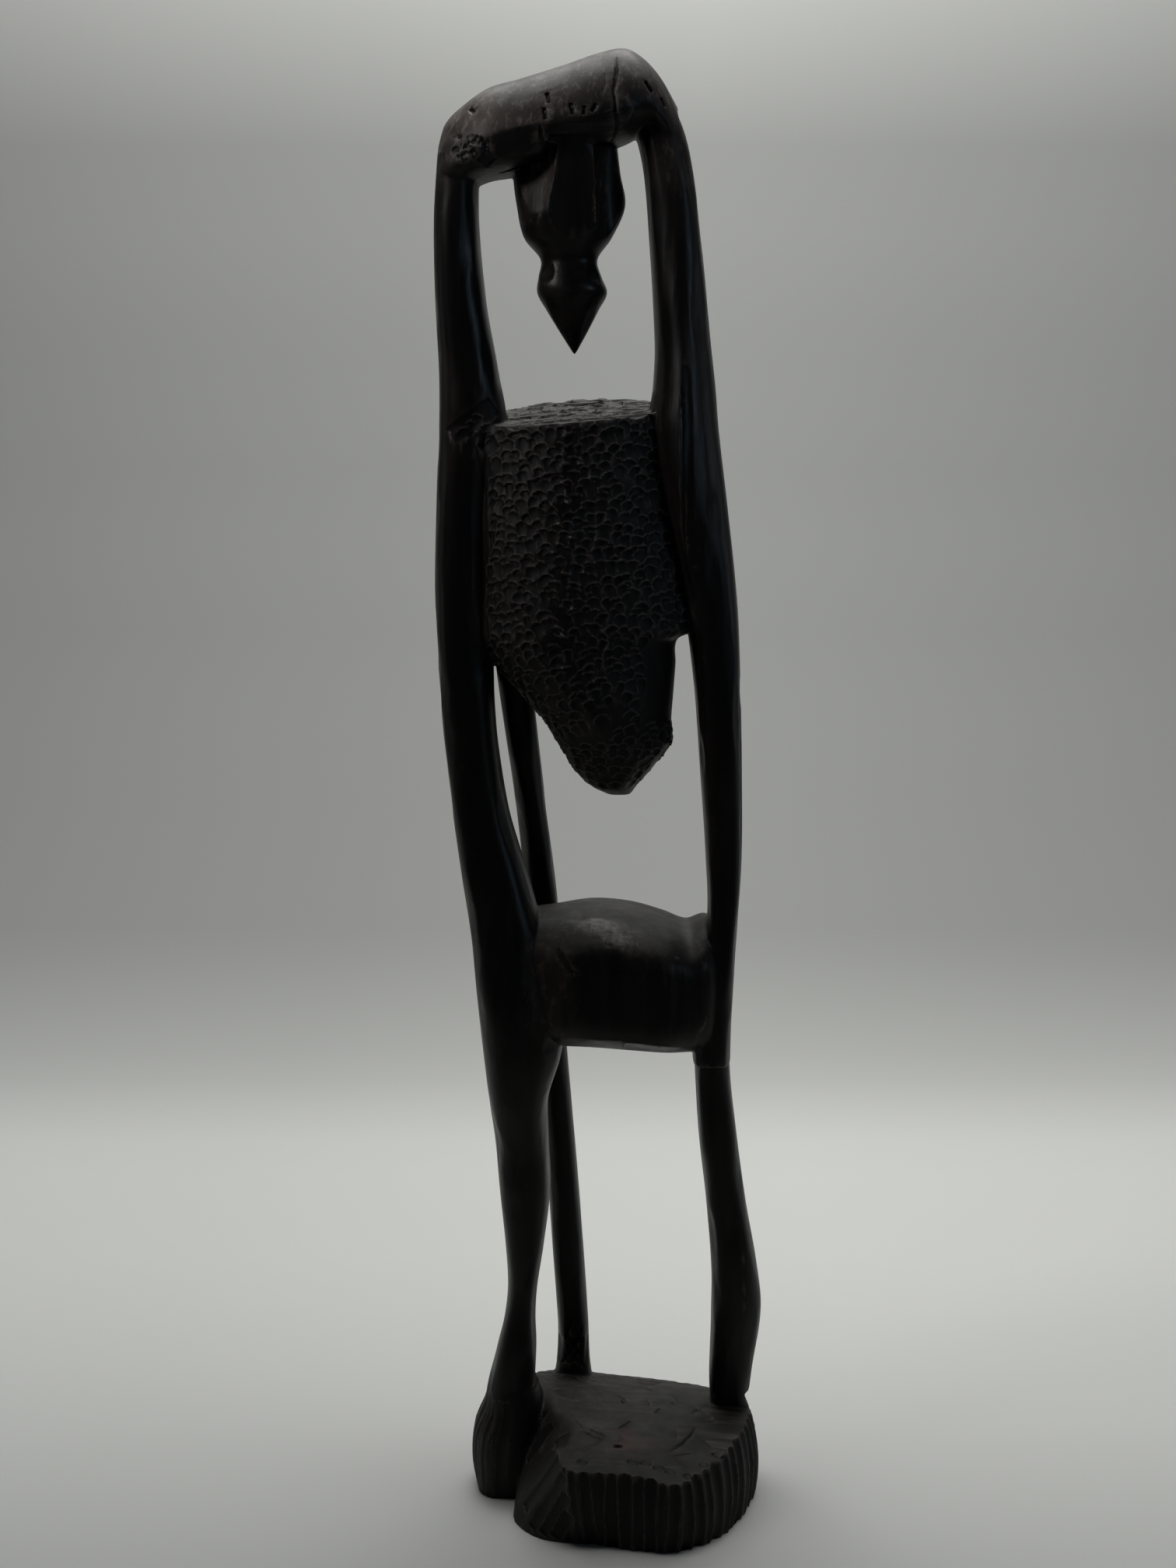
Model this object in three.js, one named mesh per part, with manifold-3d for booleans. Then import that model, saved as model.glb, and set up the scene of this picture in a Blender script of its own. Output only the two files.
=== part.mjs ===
// A tall openwork figure carved from one log of blackwood: a gouged round base, two long side posts and a
// back strut, a domed pelvis block, a chip-carved torso slab, a slanting lintel and a pendant below it.
// Millimetres, +Z up, +X to the viewer's right, the front faces -Y. The origin is the middle of the
// underside. Everything is one solid, because everything is cut from the same log.

import * as THREE from 'three';
import { mergeVertices } from 'three/addons/utils/BufferGeometryUtils.js';
import Module from 'manifold-3d';

const wasm = await Module();
wasm.setup();

// Driving dimensions of the upright members. Each row is one section, from the bottom up:
// height, left side, right side, middle depth, half depth, squareness (2 is an oval, 4 nearly a box),
// and on a member with a ridge down its front, how far it stands out and where, from -1 left to 1 right.
const LEFT_POST = [
  [24, -49.5, -29, 3, 13, 2.6],
  [38, -47.4, -29.7, 3, 13, 2.6],
  [54, -43.6, -29.1, 2, 11.5, 2.5],
  [66, -40.8, -29.4, 2, 10, 2.4],
  [78, -39.5, -28.6, 2, 10, 2.4],
  [93, -40.1, -26.3, 1, 12, 2.4],
  [116, -42.2, -23.7, 0, 14, 2.5],
  [134, -43.6, -24.3, -1, 15, 2.5],
  [152, -45.7, -24.2, -3, 16.5, 2.6],
  [172, -47.8, -19, -4, 18, 2.8],
  [212, -51.7, -26, -4, 18, 2.8],
  [235, -55.4, -32.4, -2, 17, 2.6],
  [257, -58.4, -38.7, 0, 17, 2.6],
  [290, -61.8, -43, 1, 17.5, 2.6],
  [335, -64, -43.6, 2, 18.5, 2.8],
  [370, -63, -43, 2, 19, 2.8],
  [392, -62, -38.6, 2, 19, 2.9],
  [410, -61.9, -41.2, 2, 18, 2.8],
  [435, -63, -45.4, 1, 17, 2.6],
  [462, -63.2, -47.8, 1, 17, 2.6],
  [484, -61.8, -47.5, 1, 16, 2.6],
];
const RIGHT_ARM = [
  [166, 27.8, 41, -11, 11, 2.7, 0, 0],
  [183, 27.5, 41.4, -11, 12, 2.7, 0, 0],
  [217, 32.7, 43.3, -9, 12.5, 2.7, 0, 0],
  [240, 32.2, 44.8, -6, 13, 2.6, 0, 0],
  [270, 30.1, 44.7, -5, 14, 2.5, 0, 0],
  [300, 27.8, 44, -4, 15, 2.6, 0, 0],
  [330, 23.8, 42.7, -3, 17.5, 2.8, 1, -0.8],
  [362, 16.7, 39.2, -2, 18.5, 3, 4, -0.5],
  [390, 11.2, 35.8, -1, 18.5, 3, 5, -0.1],
  [405, 12.8, 34.6, 0, 18.5, 2.8, 4, -0.1],
  [420, 13.4, 32.9, 0, 18, 2.6, 2, -0.1],
  [457, 11.3, 29.1, 1, 17.5, 2.6, 0, 0],
  [480, 9.2, 26, 1, 17, 2.6, 0, 0],
  [495, 5.5, 22, 1, 16, 2.6, 0, 0],
  [504, 2, 16, 1, 13, 2.4, 0, 0],
];
const RIGHT_LEG = [
  [20, 38, 50.2, 13, 10, 2.6],
  [30, 36.2, 50.6, 13, 10, 2.6],
  [42, 35.8, 51.8, 13, 10.5, 2.5],
  [66, 36.4, 54.8, 12, 11.5, 2.4],
  [84, 36, 52.9, 11, 11.5, 2.4],
  [108, 34, 48.6, 10, 11, 2.4],
  [132, 31.2, 45.2, 9, 11, 2.4],
  [156, 29.6, 42.4, 8, 11, 2.4],
  [188, 28, 41, 5, 11, 2.4],
];
const BACK_STRUT = [
  [20, -24, -7.4, 40, 10, 2.6],
  [34, -22, -9.2, 40, 8.5, 2.5],
  [50, -21.7, -9.8, 40, 8, 2.4],
  [93, -24.5, -12.6, 38.5, 8, 2.4],
  [130, -26.5, -15.5, 37, 8.5, 2.4],
  [158, -28, -17.8, 35.5, 9, 2.4],
  [215, -32.9, -21.2, 32.5, 9, 2.4],
  [250, -36.2, -25.2, 28.5, 9, 2.4],
  [297, -42.4, -30, 21, 8.5, 2.4],
  [325, -45.5, -32, 16, 8, 2.4],
];
const TORSO = [
  [261, -3, 5.5, 4, 5, 2.2, 0, 0],
  [264, -9, 7.6, 4, 10, 2.2, 0, 0],
  [270, -15, 12.8, 4, 15, 2.3, 1, 0],
  [280, -21, 20.3, 3, 20, 2.5, 2, -0.1],
  [288, -26, 19.9, 3, 23, 2.6, 3, -0.2],
  [297, -33.4, 20.5, 3, 25, 2.7, 4, -0.2],
  [308, -43, 21.3, 3, 26, 2.8, 4, -0.2],
  [317, -48, 22, 3, 26.5, 3, 4, -0.2],
  [321, -49.5, 29, 3, 27, 3, 4, -0.2],
  [340, -49.5, 26.5, 3, 27, 3, 4, -0.15],
  [360, -49.5, 22.5, 3, 27, 3, 4, -0.1],
  [395.6, -49, 17.5, 3, 26, 3, 4, 0],
];
const PENDANT = [
  [416.5, -14.9, -14.3, 0, 0.4, 2],
  [425, -20.3, -9.6, 0, 6, 2.3],
  [432, -24.6, -6, 0, 10, 2.4],
  [437.5, -27.6, -3.2, 0, 13, 2.4],
  [443, -27.1, -5.2, 0, 12, 2.4],
  [449, -26.4, -6.6, 0, 10.5, 2.4],
  [456, -32, -1.8, 0, 15, 2.3],
  [467, -34.6, 3, 0, 18.5, 2.1],
  [478, -35.8, 1.3, 0, 19, 2.1],
  [494, -35, -0.6, 0, 18, 2.2],
];

// The lying members run from left to right. Each row is one section:
// place along X, underside, top, middle depth, half depth, squareness.
const LINTEL = [
  [-61.6, 476, 487, 1, 9, 2.2],
  [-59.5, 471, 494, 1, 14, 2.3],
  [-54, 471.5, 499.8, 1, 18, 2.4],
  [-44, 475.5, 506.4, 0, 20.5, 2.4],
  [-34, 477.2, 509.2, 0, 22, 2.4],
  [-18, 481.5, 514, 0, 23, 2.4],
  [-6, 484.8, 518, 0, 23, 2.4],
  [3, 488, 519.4, 0, 22, 2.4],
  [10, 491, 515.4, 0, 20, 2.3],
  [16, 488, 508.5, 0, 17, 2.3],
  [21, 482, 500, 0, 13, 2.2],
];
const PELVIS = [
  [-46, 175, 211, -3, 14, 3],
  [-38, 173, 217, -1, 20, 3.4],
  [-30, 172, 219.1, 2, 27, 3.6],
  [-22, 172.4, 219.6, 4, 33, 4],
  [-8, 171.9, 220.6, 5, 36, 4.4],
  [6, 170.9, 219.4, 5, 36.5, 4.6],
  [18, 170.1, 216.3, 4, 35, 4.4],
  [26, 169.7, 214, 3, 31, 4],
  [33, 169.5, 217, 0, 25, 3.4],
  [39, 172, 213, -4, 14, 2.6],
];

// Plan of the base block, anticlockwise from the right. Each row: x and y at the foot, x and y at the rim.
const BASE_PLAN = [
  [52.1, -7, 50.8, -1],
  [48, 17, 47.4, 17],
  [35, 33, 35, 32],
  [16, 42, 16, 40],
  [-3, 46, -3, 44],
  [-17, 49, -16, 49.5],
  [-29, 40, -28, 38],
  [-38, 24, -36, 22],
  [-37, 4, -33, 4],
  [-36.6, -14, -29, -6],
  [-36.4, -31, -25.5, -19],
  [-27.5, -43.8, -22, -37],
  [-14, -48, -17.5, -51.5],
  [-5, -50, -5, -52],
  [8, -54, 8, -52.5],
  [20, -55, 21, -55.5],
  [32.4, -48.2, 31.5, -46],
  [42.7, -35, 42.5, -29],
];
const BASE_FLUTE_WIDTH = 4.4;
const BASE_FLUTE_DEPTH = 0.9;
const BASE_BULGE = 2;
const BASE_SIDE_LEVELS = [0, 0.5, 1];
const BASE_TOP_INSETS = [0.8, 0.5];
const BASE_TOP_HEIGHT = 32.6;
const BASE_TOP_FALL_TO_RIGHT = 0.08;
const BASE_TOP_CROWN_PLACE = -8;
const BASE_TOP_FALL_FROM_CROWN = 0.0026;
const BASE_ROLL_EDGE = -31.5;
const BASE_ROLL_EDGE_SLANT = -0.27;
const BASE_ROLL_REACH = 12;
const BASE_ROLL_RADIUS = 10;
const BASE_ROLL_STARTS = -40;
const BASE_ROLL_FADES_OVER = 12;

// The rounded lobe of the base that the left post stands on: the same row as an upright member.
const BASE_LOBE = [
  [0, -51, -28, 4, 16, 3.2],
  [10, -53, -27, 4, 18, 2.8],
  [22, -52.5, -27, 4, 18.5, 2.8],
  [32, -48.8, -27, 4, 16.5, 2.8],
  [40, -46, -28.5, 3, 13, 2.7],
];

// Carving of the torso: rows of chips, and the slope of its top down to the front and to the left.
const CHIP_WIDTH = 4.5;
const CHIP_DEPTH = 1.1;
const CHIPS_ROUND_TORSO = 40;
const TORSO_TOP_INSETS = [0.86, 0.68, 0.5, 0.32];
const TORSO_TOP_SLOPE_BACK = 0.115;
const TORSO_TOP_SLOPE_RIGHT = 0.08;
const TORSO_TOP_CROWN = 2.5;
const TORSO_SLOPE_STARTS = 300;

// How far the pelvis block's top falls from its middle to its front and back edges, and how far the
// lintel's front leans back at its top and forward at its foot.
const PELVIS_CROWN = 5;
const LINTEL_LEAN = 5;

// How finely the members are cut: corners round one section, and millimetres between sections.
const LOBE_SIDES = 22;
const POST_SIDES = 16;
const LEG_SIDES = 14;
const STRUT_SIDES = 12;
const PELVIS_SIDES = 28;
const LINTEL_SIDES = 20;
const PENDANT_SIDES = 12;
const LOBE_STEP = 10;
const POST_STEP = 13;
const STRUT_STEP = 18;
const FINE_STEP = 6;
const WELD_DISTANCE = 0.001;

// A value of a member between two of its sections, on a cubic whose slopes are those of the neighbours.
function slopeAt(rows, index, column) {
  const before = rows[Math.max(index - 1, 0)];
  const after = rows[Math.min(index + 1, rows.length - 1)];
  return (after[column] - before[column]) / (after[0] - before[0]);
}

function sectionAt(rows, place) {
  let index = 0;
  while (index < rows.length - 2 && rows[index + 1][0] < place) index += 1;
  const [start, end] = [rows[index], rows[index + 1]];
  const span = end[0] - start[0];
  const u = (place - start[0]) / span;
  return start.map((value, column) => {
    if (column === 0) return place;
    const startSlope = slopeAt(rows, index, column) * span;
    const endSlope = slopeAt(rows, index + 1, column) * span;
    const rise = end[column] - value;
    return value + startSlope * u
      + (3 * rise - 2 * startSlope - endSlope) * u * u
      + (startSlope + endSlope - 2 * rise) * u * u * u;
  });
}

// One corner of a section: an oval squared off by its exponent, with the ridge on its front, as
// [across, depth].
function sectionCorner([, low, high, middle, halfDepth, squareness, ridge = 0, ridgePlace = 0], angle) {
  const [c, s] = [Math.cos(angle), Math.sin(angle)];
  const power = 2 / squareness;
  const across = Math.sign(c) * Math.abs(c) ** power;
  const depth = Math.sign(s) * Math.abs(s) ** power;
  const standsOut = depth < 0 ? ridge * depth * Math.max(0, 1 - Math.abs(across - ridgePlace)) : 0;
  return [(low + high) / 2 + across * (high - low) / 2, middle + depth * halfDepth + standsOut];
}

// A closed solid from rings of corners, each ring closed on itself and both ends closed by a fan.
function solidFromRings(rings) {
  const sides = rings[0].length;
  const centre = (ring) => ring
    .reduce((sum, corner) => sum.map((value, axis) => value + corner[axis] / sides), [0, 0, 0]);
  const corners = [...rings.flat(), centre(rings[0]), centre(rings[rings.length - 1])];
  const [bottom, top] = [corners.length - 2, corners.length - 1];
  const lastRing = (rings.length - 1) * sides;
  const faces = [];
  for (let side = 0; side < sides; side += 1) {
    const next = (side + 1) % sides;
    faces.push([bottom, next, side], [top, lastRing + side, lastRing + next]);
    for (let ring = 0; ring < rings.length - 1; ring += 1) {
      const [low, high] = [ring * sides, (ring + 1) * sides];
      faces.push([low + side, low + next, high + next], [low + side, high + next, high + side]);
    }
  }
  const volume = faces.reduce((sum, [a, b, c]) => {
    const [p, q, r] = [a, b, c].map((index) => new THREE.Vector3(...corners[index]));
    return sum + p.dot(q.cross(r));
  }, 0);
  const geometry = new THREE.BufferGeometry();
  geometry.setAttribute('position', new THREE.Float32BufferAttribute(corners.flat(), 3));
  geometry.setIndex((volume > 0 ? faces : faces.map(([a, b, c]) => [a, c, b])).flat());
  return toManifold(mergeVertices(geometry, WELD_DISTANCE));
}

function toManifold(geometry) {
  return new wasm.Manifold(new wasm.Mesh({
    numProp: 3,
    vertProperties: new Float32Array(geometry.attributes.position.array),
    triVerts: new Uint32Array(geometry.index.array),
  }));
}

// The places of a member's rings: every section row, with the spans between them cut into even steps.
function ringPlaces(rows, step) {
  const places = [rows[0][0]];
  for (let index = 1; index < rows.length; index += 1) {
    const [start, end] = [rows[index - 1][0], rows[index][0]];
    const cuts = Math.max(1, Math.round((end - start) / step));
    for (let cut = 1; cut <= cuts; cut += 1) places.push(start + (end - start) * cut / cuts);
  }
  return places;
}

function ringAngles(sides) {
  return Array.from({ length: sides }, (_, side) => (side + 0.5) * 2 * Math.PI / sides);
}

// A member that stands up: its rings lie flat, one above the other.
function upright(rows, sides, step) {
  return solidFromRings(ringPlaces(rows, step).map((place) => {
    const section = sectionAt(rows, place);
    return ringAngles(sides).map((angle) => {
      const [x, y] = sectionCorner(section, angle);
      return [x, y, place];
    });
  }));
}

// A member that lies across the figure: its rings stand on edge, from left to right. With a crown, its
// top is highest along the middle. With a lean, its front slopes.
function lying(rows, sides, step, crown, lean) {
  return solidFromRings(ringPlaces(rows, step).map((place) => {
    const section = sectionAt(rows, place);
    const [, underside, top, middle, halfDepth] = section;
    return ringAngles(sides).map((angle) => {
      const [z, y] = sectionCorner(section, angle);
      const rise = (2 * z - underside - top) / (top - underside);
      const depth = (y - middle) / halfDepth;
      return [place, y + lean * rise * Math.max(0, -depth), z - crown * Math.max(0, rise) * depth ** 2];
    });
  }));
}

// The torso slab: a keeled front, a top that slopes, and staggered chips over the whole surface, which
// stand out and in by turns along each row and change over from one row to the next.
function torso() {
  const topPlace = TORSO[TORSO.length - 1][0];
  const rings = [];
  const ring = (place, shrink, row) => {
    const section = sectionAt(TORSO, place);
    const middle = (section[1] + section[2]) / 2;
    const slope = Math.max(0, (place - TORSO_SLOPE_STARTS) / (topPlace - TORSO_SLOPE_STARTS));
    rings.push(ringAngles(CHIPS_ROUND_TORSO).map((angle, side) => {
      const [x, y] = sectionCorner(section, angle);
      const chip = 1 + ((side + row) % 2 ? -CHIP_DEPTH : 0) / section[4];
      const placed = [
        middle + (x - middle) * shrink * chip,
        section[3] + (y - section[3]) * shrink * chip,
      ];
      const across = (placed[0] - middle) / (section[2] - middle);
      const behind = Math.max(0, placed[1] / section[4]);
      const rise = placed[1] * TORSO_TOP_SLOPE_BACK + (placed[0] - middle) * TORSO_TOP_SLOPE_RIGHT
        + TORSO_TOP_CROWN * behind * (1 - across * across);
      const dimple = shrink < 1 && (side + row) % 2 ? CHIP_DEPTH : 0;
      return [...placed, place + rise * slope - dimple];
    }));
  };
  ringPlaces(TORSO, CHIP_WIDTH).forEach((place, row) => ring(place, 1, row));
  TORSO_TOP_INSETS.forEach((shrink, row) => ring(topPlace, shrink, row));
  return solidFromRings(rings);
}

// Height of the base block's top: it falls away to the right and from a crown before the middle, and
// rolls over on the left, behind the front corner.
function baseTop(x, y) {
  const flat = BASE_TOP_HEIGHT - BASE_TOP_FALL_TO_RIGHT * x
    - BASE_TOP_FALL_FROM_CROWN * (y - BASE_TOP_CROWN_PLACE) ** 2;
  const inward = x - BASE_ROLL_EDGE - BASE_ROLL_EDGE_SLANT * y;
  const near = Math.min(BASE_ROLL_REACH, Math.max(0, BASE_ROLL_REACH - inward));
  const fade = Math.min(1, Math.max(0, (y - BASE_ROLL_STARTS) / BASE_ROLL_FADES_OVER));
  return flat - fade * near ** 2 / (2 * BASE_ROLL_RADIUS);
}

// The base block: its plan runs smoothly through the named corners, and the side is cut into upright
// gouge flutes.
function baseBlock() {
  const curveOf = (first) => new THREE.CatmullRomCurve3(
    BASE_PLAN.map((row) => new THREE.Vector3(row[first], row[first + 1], 0)), true, 'centripetal',
  );
  const [foot, rim] = [curveOf(0), curveOf(2)];
  const flutes = Math.round(rim.getLength() / BASE_FLUTE_WIDTH);
  const ring = (rise, inset) => Array.from({ length: 2 * flutes }, (_, index) => {
    const share = index / (2 * flutes);
    const [low, high] = [foot.getPoint(share), rim.getPoint(share)];
    const corner = low.clone().lerp(high, rise);
    const reach = Math.hypot(corner.x, corner.y);
    const flute = index % 2 ? BASE_FLUTE_DEPTH : 0;
    const bulge = BASE_BULGE * 4 * rise * (1 - rise);
    const scale = (reach - flute + bulge) / reach * inset;
    const [x, y] = [corner.x * scale, corner.y * scale];
    return [x, y, rise * baseTop(x, y)];
  });
  return solidFromRings([
    ...BASE_SIDE_LEVELS.map((rise) => ring(rise, 1)),
    ...BASE_TOP_INSETS.map((inset) => ring(1, inset)),
  ]);
}

const members = [
  baseBlock(),
  upright(BASE_LOBE, LOBE_SIDES, LOBE_STEP),
  upright(LEFT_POST, POST_SIDES, POST_STEP),
  upright(RIGHT_LEG, LEG_SIDES, POST_STEP),
  upright(BACK_STRUT, STRUT_SIDES, STRUT_STEP),
  upright(RIGHT_ARM, POST_SIDES, POST_STEP),
  torso(),
  lying(PELVIS, PELVIS_SIDES, FINE_STEP, PELVIS_CROWN, 0),
  lying(LINTEL, LINTEL_SIDES, FINE_STEP, 0, LINTEL_LEAN),
  upright(PENDANT, PENDANT_SIDES, FINE_STEP),
];
const carved = members.reduce((whole, member) => whole.add(member)).getMesh();

const woodGeometry = new THREE.BufferGeometry();
woodGeometry.setAttribute('position', new THREE.Float32BufferAttribute(carved.vertProperties, 3));
woodGeometry.setIndex(Array.from(carved.triVerts));
woodGeometry.computeVertexNormals();

const blackwood = new THREE.MeshStandardMaterial({ color: 0x1d1816, roughness: 0.45, metalness: 0 });
const carving = new THREE.Mesh(woodGeometry, blackwood);
carving.name = 'carving';

const figure = new THREE.Group();
figure.add(carving);

export default figure;
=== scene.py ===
import math

import bpy
import numpy as np
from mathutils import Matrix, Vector


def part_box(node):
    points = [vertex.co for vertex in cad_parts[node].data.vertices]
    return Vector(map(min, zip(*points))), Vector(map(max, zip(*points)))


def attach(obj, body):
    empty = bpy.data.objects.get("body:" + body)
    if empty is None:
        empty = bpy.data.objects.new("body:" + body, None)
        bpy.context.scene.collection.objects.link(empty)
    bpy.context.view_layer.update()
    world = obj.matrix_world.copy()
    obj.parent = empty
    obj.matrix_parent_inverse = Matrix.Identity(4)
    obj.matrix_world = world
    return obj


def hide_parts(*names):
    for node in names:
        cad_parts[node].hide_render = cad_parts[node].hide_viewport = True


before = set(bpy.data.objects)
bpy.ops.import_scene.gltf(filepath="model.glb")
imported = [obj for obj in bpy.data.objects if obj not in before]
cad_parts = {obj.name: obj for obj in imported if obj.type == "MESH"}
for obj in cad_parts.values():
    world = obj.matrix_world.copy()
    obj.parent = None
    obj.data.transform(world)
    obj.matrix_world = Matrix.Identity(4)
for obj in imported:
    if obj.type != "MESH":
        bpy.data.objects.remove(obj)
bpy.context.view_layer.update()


# Base block
# The foot of the log, left round and thick so that the figure stands. Its plan is a notched round, its
# side is cut into upright gouge flutes, and its top was flattened with a wide gouge.

HEIGHT = 519.24
low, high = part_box("carving")
MM = (high.z - low.z) / HEIGHT
BASE_PLAN = [
    (52.1, -7, 50.8, -1), (48, 17, 47.4, 17), (35, 33, 35, 32), (16, 42, 16, 40), (-3, 46, -3, 44),
    (-17, 49, -16, 49.5), (-29, 40, -28, 38), (-38, 24, -36, 22), (-37, 4, -33, 4),
    (-36.6, -14, -29, -6), (-36.4, -31, -25.5, -19), (-27.5, -43.8, -22, -37), (-14, -48, -17.5, -51.5),
    (-5, -50, -5, -52), (8, -54, 8, -52.5), (20, -55, 21, -55.5), (32.4, -48.2, 31.5, -46),
    (42.7, -35, 42.5, -29),
]
BASE_BULGE = 2
BASE_LOBE = [
    (0, -51, -28, 4, 16, 3.2), (10, -53, -27, 4, 18, 2.8), (22, -52.5, -27, 4, 18.5, 2.8),
    (32, -48.8, -27, 4, 16.5, 2.8), (40, -46, -28.5, 3, 13, 2.7),
]
BASE_TOP_HEIGHT = 32.6
BASE_TOP_FALL_RIGHT = 0.08
BASE_TOP_CROWN_PLACE = -8
BASE_TOP_FALL_FROM_CROWN = 0.0026
ROLL_WIDTH = 12
ROLL_RADIUS = 10
ROLL_EDGE = -31.5
ROLL_EDGE_SLANT = 0.27
ROLL_STARTS = -40
SIDES = 144
members = []


def closed_curve(points, count):
    """Evenly numbered points on a smooth closed curve through the given ones: between two of them a
    cubic whose slope at each is half the chord between its neighbours."""
    points = np.array(points, float)
    place = np.arange(count) * len(points) / count
    index = place.astype(int)
    u = (place - index)[:, None]
    p0, p1, p2, p3 = (points[(index + step) % len(points)] for step in (-1, 0, 1, 2))
    start, end, rise = (p2 - p0) / 2, (p3 - p1) / 2, p2 - p1
    return p1 + start * u + (3 * rise - 2 * start - end) * u**2 + (start + end - 2 * rise) * u**3


def shell(rings):
    """Corners and faces of a closed shell: rings of corners joined by four-sided faces, and a fan from
    the middle of the first and last ring."""
    rows, sides = rings.shape[:2]
    corners = np.concatenate([rings.reshape(-1, 3), rings[0].mean(0)[None], rings[-1].mean(0)[None]])
    side = np.arange(sides)
    grid = np.arange(rows * sides).reshape(rows, sides)
    turned = np.roll(grid, -1, axis=1)
    faces = np.stack([grid[:-1], turned[:-1], turned[1:], grid[1:]], axis=-1).reshape(-1, 4).tolist()
    last = (rows - 1) * sides
    turned_side = (side + 1) % sides
    first_fan = np.stack([np.full(sides, rows * sides), turned_side, side], axis=-1)
    last_fan = np.stack([np.full(sides, rows * sides + 1), last + side, last + turned_side], axis=-1)
    faces += first_fan.tolist() + last_fan.tolist()
    return corners, faces


def base_top(x, y):
    """Height of the base's top: it falls away to the right and from a crown before the middle, and rolls
    over on the left by near squared over twice the radius, behind the front corner."""
    near = np.clip(ROLL_WIDTH - (x - ROLL_EDGE + ROLL_EDGE_SLANT * y), 0, ROLL_WIDTH)
    crown = BASE_TOP_FALL_FROM_CROWN * (y - BASE_TOP_CROWN_PLACE) ** 2
    behind = np.clip((y - ROLL_STARTS) / ROLL_WIDTH, 0, 1)
    return BASE_TOP_HEIGHT - BASE_TOP_FALL_RIGHT * x - crown - behind * near**2 / (2 * ROLL_RADIUS)


def base_block():
    """The plan at the foot carried up to the plan at the rim, swelling between them by a parabola."""
    plan = closed_curve(BASE_PLAN, 360)
    rise = np.linspace(0, 1, 12)[:, None]
    x = plan[:, 0] * (1 - rise) + plan[:, 2] * rise
    y = plan[:, 1] * (1 - rise) + plan[:, 3] * rise
    reach = np.hypot(x, y)
    swell = 1 + BASE_BULGE * 4 * rise * (1 - rise) / reach
    x, y = x * swell, y * swell
    rings = [np.stack([x, y, rise * base_top(x, y)], axis=-1)]
    for inset in np.linspace(0.97, 0.05, 32):
        rings.append(np.stack([x[-1:], y[-1:], base_top(x[-1:] * inset, y[-1:] * inset)], axis=-1)
                     * np.array([inset, inset, 1]))
    return np.concatenate(rings)


def sections(rows, places):
    """All columns of a member's rows at the given places: between two rows a cubic, whose slope at a
    row is that of the chord between its neighbours."""
    rows = np.array(rows, float)
    key = rows[:, 0]
    number = np.arange(len(rows))
    before, after = np.maximum(number - 1, 0), np.minimum(number + 1, len(rows) - 1)
    slope = (rows[after] - rows[before]) / (key[after] - key[before])[:, None]
    index = np.clip(np.searchsorted(key, places, side="right") - 1, 0, len(rows) - 2)
    span = (key[index + 1] - key[index])[:, None]
    u = (places - key[index])[:, None] / span
    start, end = slope[index] * span, slope[index + 1] * span
    rise = rows[index + 1] - rows[index]
    return rows[index] + start * u + (3 * rise - 2 * start - end) * u**2 + (start + end - 2 * rise) * u**3


def section_corners(section, angle):
    """Across and depth of a section at an angle round it: an oval squared off by its exponent, with a
    ridge that stands out on the front, highest at its place and falling straight to nothing on each
    side, half the section's width away."""
    low_side, high_side, middle, half, square = (section[..., column] for column in range(1, 6))
    power = 2 / square
    across = np.sign(np.cos(angle)) * np.abs(np.cos(angle)) ** power
    depth = np.sign(np.sin(angle)) * np.abs(np.sin(angle)) ** power
    stands = 0
    if section.shape[-1] > 6:
        ridge, place = section[..., 6], section[..., 7]
        stands = np.where(depth < 0, ridge * depth * np.maximum(0, 1 - np.abs(across - place)), 0)
    return (low_side + high_side) / 2 + across * (high_side - low_side) / 2, middle + depth * half + stands


def upright(rows, step=1.0):
    """Rings of a member that stands up, one above the other, a step apart."""
    places = np.linspace(rows[0][0], rows[-1][0], int((rows[-1][0] - rows[0][0]) / step) + 2)
    angle = (np.arange(SIDES) + 0.5) * 2 * np.pi / SIDES
    x, y = section_corners(sections(rows, places)[:, None, :], angle[None, :])
    return np.stack([x, y, np.broadcast_to(places[:, None], x.shape)], axis=-1)


def lying(rows, crown=0, lean=0, step=1.0):
    """Rings of a member that lies across the figure, from left to right: its sections stand on edge,
    their upper half falls from the middle to front and back by the crown times depth squared, and
    their front leans back at the top and forward at the foot."""
    places = np.linspace(rows[0][0], rows[-1][0], int((rows[-1][0] - rows[0][0]) / step) + 2)
    angle = (np.arange(SIDES) + 0.5) * 2 * np.pi / SIDES
    section = sections(rows, places)[:, None, :]
    z, y = section_corners(section, angle[None, :])
    underside, top, middle, half = (section[..., column] for column in range(1, 5))
    rise, depth = (2 * z - underside - top) / (top - underside), (y - middle) / half
    y = y + lean * rise * np.maximum(0, -depth)
    z = z - crown * np.maximum(0, rise) * depth**2
    return np.stack([np.broadcast_to(places[:, None], z.shape), y, z], axis=-1)


members += [shell(base_block()), shell(upright(BASE_LOBE))]


# Legs, side posts and back strut
# The log's outside, left standing as long square-shouldered bars with softly cut faces. The left post
# runs from the base to the lintel in one sweep, and the right one is a leg below and an arm above.

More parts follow.
